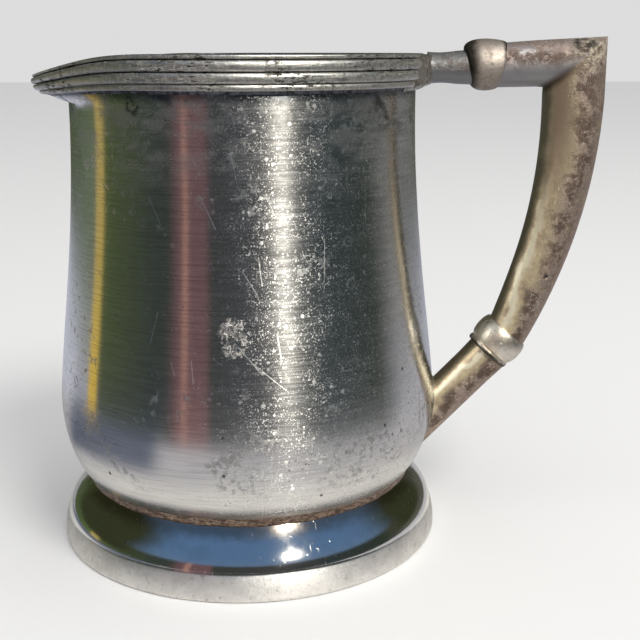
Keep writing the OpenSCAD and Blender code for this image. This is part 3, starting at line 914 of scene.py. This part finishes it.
def handle_metal(name, clean, tarnish, dark, cover, roughness=0.26, inner=-0.1, band=0):
    """Nickel silver whose plate has gone: clean on the side under inner, stained and flecked past it.

    With band at 1 a painted golden highlight, with a brighter painted line in it, runs along the limb beside
    a painted dark shade on the inner edge.
    """
    g = Shader(name)
    drift = g.noise(0.14, detail=5, rough=0.6)
    side = g.add(g.mark("side"), g.times(g.less(drift, 0.5), 1.3))
    outer = g.add(0.05, g.times(g.step(side, inner - 0.22, inner + 0.3), 0.95))
    stain = g.times(g.blots(0.52 - cover * 0.3, 0.64 - cover * 0.16, 0.3, detail=6, rough=0.65), outer)
    middle = g.fall(g.math("ABSOLUTE", g.less(side, inner + 0.3)), 0.1, 0.6)
    blot = g.times(g.blots(0.44, 0.54, 0.32, (7, 3, 1), detail=8, rough=0.75), cover, middle)
    mottle = g.noise(1.3, (2, 2, 7), detail=5, rough=0.75)
    flecks = g.times(g.blots(0.57, 0.66, 2.8, detail=4, rough=0.8),
                     g.blots(0.4, 0.56, 0.4, (1, 2, 3), detail=4), outer)
    pits = g.times(g.blots(0.6, 0.67, 1.9, (5, 9, 2), detail=4, rough=0.7), g.step(drift, 0.42, 0.6),
                   outer)
    # Painted highlight: a golden band of colour along the limb where the light would shine.
    painted_highlight_band = g.times(g.between(side, (inner - 0.75, inner - 0.45), (inner - 0.2, inner + 0.15)),
                  g.fall(g.z, 60, 80), g.add(0.45, g.times(g.step(mottle, 0.4, 0.6), 0.55)), band)
    # Painted highlight: a brighter line inside that band.
    painted_highlight_line = g.times(g.between(side, (inner - 0.68, inner - 0.54), (inner - 0.44, inner - 0.24)),
                   g.fall(g.z, 52, 74), band)
    # Painted shade: the inner edge darkened as if turned away from the light.
    edge = g.times(g.fall(side, inner - 0.95, inner - 0.6), band)
    corner = g.times(g.step(g.x, 58, 65), g.step(g.z, 87.5, 92))
    crust = g.times(corner, g.blots(0.42, 0.6, 0.9, (4, 4, 4), detail=6, rough=0.8))
    colour = g.mix(g.step(drift, 0.35, 0.65), clean, tuple(c * 0.88 for c in clean))
    colour = g.coats(
        colour,
        # painted highlight band and line, then painted shade on the inner edge
        (painted_highlight_band, 0.85, (0.98, 0.84, 0.54)),
        (painted_highlight_line, 0.85, (1.0, 0.95, 0.74)),
        (edge, 0.75, (0.16, 0.155, 0.1)),
        (stain, 0.88, g.mix(g.step(mottle, 0.35, 0.65), tarnish, tuple(c * 0.6 for c in tarnish))),
        (blot, 0.92, dark),
        (crust, 0.75, (0.78, 0.72, 0.58)),
        (flecks, 0.75, (0.92, 0.86, 0.76)),
        (pits, 0.85, (0.06, 0.045, 0.035)))
    nick = g.times(g.ball(*NICK), g.blots(0.47, 0.56, 0.8, (3, 0, 3), detail=6, rough=0.8))
    vent = g.ball(*VENT)
    across_x, across_z = (CORNER_OUT - CORNER_IN) / np.linalg.norm(CORNER_OUT - CORNER_IN)
    gap = g.add(g.times(g.less(g.x, CORNER_IN[0]), across_z), g.times(g.less(g.z, CORNER_IN[1]), -across_x))
    valley = g.times(g.fall(g.math("ABSOLUTE", gap), 0.1, 1.4), g.fall(g.z, 87, 93),
                     g.step(g.z, 84, 85.5))
    colour = g.coats(
        colour,
        (nick, 0.9, (0.06, 0.06, 0.05)),
        (vent, 0.85, (0.05, 0.04, 0.035)),
        (valley, 0.75, dark))
    rough = g.total(roughness, (stain, 0.12), (blot, 0.08), (pits, 0.1), (crust, 0.1))
    height = g.total(g.times(g.noise(2.4, detail=4, rough=0.65), g.add(0.012, g.times(stain, 0.06))),
                     (flecks, 0.03), (pits, -0.06), (blot, -0.02), (vent, -0.25), (crust, 0.05),
                     (nick, -0.15))
    # The painted highlights are made less metallic so that they glow under the key light.
    dull = g.add(g.times(stain, 0.18), g.times(painted_highlight_band, 0.17), g.times(painted_highlight_line, 0.22))
    return g.finish(colour, rough, height, metallic=g.less(0.98, dull))


def knuckle_metal(name, clean, tarnish, centre, turn, half, roughness, left_shade=0.8):
    """A bead rubbed pale round its swell and dark at its ends: a dark seam at the far end and painted shade
    on the first end's flank, as deep as the last argument says.
    """
    g = Shader(name)
    along = g.add(g.times(g.less(g.x, centre[0]), cos(turn)),
                  g.times(g.less(g.z, centre[1]), sin(turn)))
    along = g.add(along, g.times(g.less(g.noise(0.5, detail=4), 0.5), 1.6))
    # Painted shade on the first end's flank, as if that side were in shadow.
    left = g.step(g.times(along, -1), half * 0.2, half * 0.75)
    end = g.most(g.step(along, half * 0.66, half * 0.92), g.times(left, left_shade))
    stain = g.blots(0.46, 0.62, 0.5, detail=6, rough=0.7)
    pits = g.blots(0.61, 0.68, 1.7, (5, 2, 2), detail=4, rough=0.75)
    flecks = g.blots(0.6, 0.67, 3.0, rough=0.8)
    colour = g.coats(
        clean,
        (stain, 0.7, tarnish),
        # dark ends: a seam at the far end, painted shade on the first end's flank
        (end, 0.96, (0.045, 0.04, 0.03)),
        (g.times(flecks, g.away(g.times(end, 0.8))), 0.5, (0.9, 0.86, 0.78)),
        (pits, 0.8, (0.07, 0.05, 0.04)))
    rough = g.total(roughness, (stain, 0.08), (end, 0.1))
    height = g.total(g.times(g.noise(2.2, detail=4, rough=0.65), 0.05), (pits, -0.06), (flecks, 0.02))
    return g.finish(colour, rough, height, metallic=g.away(g.times(stain, 0.1)))


BRASS = (0.66, 0.54, 0.38)
BROWN = (0.42, 0.325, 0.285)
UMBER = (0.10, 0.065, 0.05)
nickel = handle_metal("nickel_handle", BRASS, BROWN, UMBER, cover=0.9, roughness=0.43, inner=-0.05, band=1)
grey_solder = solder("solder_handle", (0.55, 0.53, 0.48), (0.24, 0.21, 0.18))

keep(make_body(), "body_shell", body_metal())
keep(make_rim(), "rim_moulding", rim_metal())
keep(make_rim_solder(), "rim_solder_line",
     solder("solder_under_rim", (0.22, 0.23, 0.26), (0.07, 0.07, 0.08)))
keep(make_foot(), "foot_ring", foot_metal())
keep(make_foot_seam(), "foot_solder_seam",
     solder("solder_foot", (0.36, 0.27, 0.215), (0.12, 0.085, 0.065), roughness=0.26, run=(1, 1, 2.4),
            lump=0.12))
keep(make_upper_solder(), "upper_handle_solder", grey_solder)
keep(make_root(), "handle_root",
     handle_metal("nickel_root", (0.33, 0.34, 0.36), (0.24, 0.235, 0.235), UMBER, cover=0.6, roughness=0.54))
keep(make_knuckle("knuckle_upper", UPPER_KNUCKLE_C, 0, UPPER_KNUCKLE_R, UPPER_KNUCKLE_HALF,
                  low_end=0.68, pinch=0.33),
     "upper_knuckle",
     knuckle_metal("nickel_knuckle_upper", (0.50, 0.445, 0.405), (0.34, 0.285, 0.25),
                   UPPER_KNUCKLE_C, 0, UPPER_KNUCKLE_HALF, roughness=0.62, left_shade=1))
# The arm's cool grey lower half is a painted reflection of bluish shade; the brown on its top half is
# tarnish.
keep(make_arm(), "upper_arm",
     handle_metal("nickel_arm", (0.44, 0.435, 0.455), BROWN, UMBER, cover=0.8, roughness=0.58, inner=0))
keep(make_grip(), "grip", nickel)
keep(make_knuckle("knuckle_lower", LOWER_KNUCKLE_C, LOWER_KNUCKLE_TURN, LOWER_KNUCKLE_R, LOWER_KNUCKLE_HALF,
                  collar=1.1),
     "lower_knuckle",
     knuckle_metal("nickel_knuckle_lower", (0.88, 0.82, 0.71), (0.68, 0.58, 0.46),
                   LOWER_KNUCKLE_C, LOWER_KNUCKLE_TURN, LOWER_KNUCKLE_HALF, roughness=0.34, left_shade=0.3))
keep(make_leg(), "lower_leg", nickel)
keep(make_lower_solder(), "lower_handle_solder", grey_solder)


# ---- stage
# What the metal mirrors. Azimuths are in degrees: 0 is the camera's side, + is to the right.
# Trees with a pale table under them: (azimuth, colour low down, colour at eye level)
COUNTRY = [
    (-180, (0.46, 0.48, 0.56), (0.08, 0.08, 0.06)),
    (-130, (0.60, 0.61, 0.70), (0.07, 0.10, 0.04)),
    (-110, (0.50, 0.50, 0.55), (0.10, 0.14, 0.05)),
    (-95, (0.09, 0.10, 0.06), (0.08, 0.11, 0.04)),
    (-55, (0.04, 0.05, 0.05), (0.04, 0.05, 0.04)),
    (15, (0.06, 0.06, 0.07), (0.05, 0.05, 0.05)),
    (50, (0.03, 0.05, 0.05), (0.03, 0.04, 0.04)),
    (90, (0.05, 0.06, 0.05), (0.03, 0.04, 0.03)),
    (110, (0.54, 0.54, 0.59), (0.11, 0.11, 0.09)),
    (180, (0.46, 0.48, 0.56), (0.08, 0.08, 0.06)),
]
# What stands in it: where it starts and where it ends, each from and to, then the height of the direction to
# its base, its colour low down and its colour at eye level
YELLOW_POST = ((-109, -105), (-100, -96), -0.26, (0.92, 0.60, 0.05), (0.46, 0.36, 0.12))
ROSE_WALL = ((-47, -37), (-21, -19), -0.38, (0.24, 0.12, 0.12), (0.15, 0.085, 0.09))
LIT_EDGE = ((-37, -35), (-34, -32), -0.38, (0.40, 0.21, 0.18), (0.46, 0.25, 0.20))
SKY_LOW = (0.13, 0.20, 0.31)
SKY_HIGH = (0.09, 0.17, 0.31)
TREES = (0.035, 0.04, 0.018)
PALE = (0.72, 0.72, 0.72)
NEAR_FLOOR = (0.100, 0.135)  # m from the axis, where the mirrored floor gives way to the surroundings


def country(g, turn, level):
    """The country's colours by turn, 0 to 1, at a level: 1 is low down, 2 is eye level."""
    ramp = g.node("ShaderNodeValToRGB", {0: turn})
    stops = ramp.color_ramp.elements
    for azimuth, *colours in COUNTRY[1:-1]:
        stops.new((azimuth + 180) / 360).color = (*colours[level - 1], 1)
    stops[0].color, stops[-1].color = ((*COUNTRY[end][level], 1) for end in (0, -1))
    return ramp.outputs[0]


def make_world():
    """Even pale light for the eye and the floor; muted surroundings for what mirrors in the metal."""
    world = bpy.data.worlds.new("studio")
    world.use_nodes = True
    bpy.context.scene.world = world
    g = Nodes(world.node_tree)
    x, y, z = g.parts(g.node("ShaderNodeTexCoord").outputs["Generated"])
    azimuth = g.math("ARCTAN2", x, g.times(y, -1))
    turn = g.add(g.math("DIVIDE", azimuth, 2 * pi), 0.5)
    eye_level = g.step(z, -0.19, -0.09)
    around = g.mix(eye_level, country(g, turn, 1), country(g, turn, 2))
    degrees = g.times(azimuth, 180 / pi)
    for start, end, base, low_colour, high_colour in (YELLOW_POST, ROSE_WALL, LIT_EDGE):
        inside = g.times(g.between(degrees, start, end), g.step(z, base - 0.05, base + 0.05))
        around = g.mix(inside, around, g.mix(eye_level, low_colour, high_colour))
    sky = g.mix(g.step(z, 0.25, 0.8), SKY_LOW, SKY_HIGH)
    open_sky = g.between(turn, (0.26, 0.34), (0.73, 0.82))
    wooded = g.mix(g.step(z, 0.03, 0.16), around, TREES)
    open_view = g.mix(g.step(z, 0.34, 0.48), around, sky)
    mirrored = g.mix(open_sky, wooded, open_view)
    in_metal = g.node("ShaderNodeLightPath").outputs["Is Glossy Ray"]
    g.feed(g.tree.nodes["Background"].inputs["Color"], g.mix(in_metal, PALE, mirrored))


FLOOR_HALF = 3.0  # m


def make_floor():
    """A pale floor. In the metal it is clear far out and has a blue-grey shadow on one side."""
    mesh = bpy.data.meshes.new("floor")
    corners = [(x * FLOOR_HALF, y * FLOOR_HALF, 0) for x, y in ((-1, -1), (1, -1), (1, 1), (-1, 1))]
    mesh.from_pydata(corners, [], [(0, 1, 2, 3)])
    floor = add_object("floor", mesh)
    g = Shader("pale_floor")
    mirrored = g.node("ShaderNodeLightPath").outputs["Is Glossy Ray"]
    radius = g.math("SQRT", g.add(g.times(g.x, g.x), g.times(g.y, g.y)))
    seen_in_metal = g.mix(g.step(radius, 45, 65), (0.80, 0.78, 0.75), (0.52, 0.51, 0.53))
    bearing = g.math("ARCTAN2", g.x, g.times(g.y, -1))
    shadow = g.times(g.step(radius, 56, 70), g.step(bearing, -2.2, -1.8), g.fall(bearing, -0.85, -0.6))
    seen_in_metal = g.mix(shadow, seen_in_metal, (0.13, 0.15, 0.21))
    seen = g.mix(mirrored, (0.86, 0.86, 0.86), seen_in_metal)
    g.wire(Base_Color=seen, Roughness=0.9, Specular_IOR_Level=0.1)
    far = g.step(g.less(radius, g.times(shadow, 32)), NEAR_FLOOR[0] / MM, NEAR_FLOOR[1] / MM)
    clear = g.node("ShaderNodeBsdfTransparent").outputs[0]
    mix = g.node("ShaderNodeMixShader", {0: g.times(far, mirrored), 1: g.bsdf.outputs[0], 2: clear})
    g.feed(g.tree.nodes["Material Output"].inputs["Surface"], mix.outputs[0])
    mesh.materials.append(g.material)


LIGHT_AWAY = 1.2  # m


def area_light(name, azimuth, elevation, size, power, colour, glossy):
    """A round light that looks at the jug: only metal sees it if glossy, and all else if not."""
    data = bpy.data.lights.new(name, "AREA")
    data.shape = "DISK"
    data.size = size
    data.energy = power
    data.color = colour
    light = add_object(name, data)
    light.visible_diffuse = not glossy
    light.visible_glossy = glossy
    a, e = radians(azimuth), radians(elevation)
    aim = Vector((0, 0, 0.05))
    place = aim + LIGHT_AWAY * Vector((sin(a) * cos(e), -cos(a) * cos(e), sin(e)))
    turn = (place - aim).to_track_quat("Z", "Y").to_matrix().to_4x4()
    light.matrix_world = Matrix.Translation(place) @ turn


make_floor()
make_world()
area_light("glint", azimuth=30, elevation=40, size=0.035, power=18, colour=(1, 0.95, 0.84), glossy=True)
area_light("key", azimuth=36, elevation=48, size=0.5, power=7, colour=(1, 0.98, 0.95), glossy=False)
bpy.context.scene.view_settings.view_transform = "Standard"
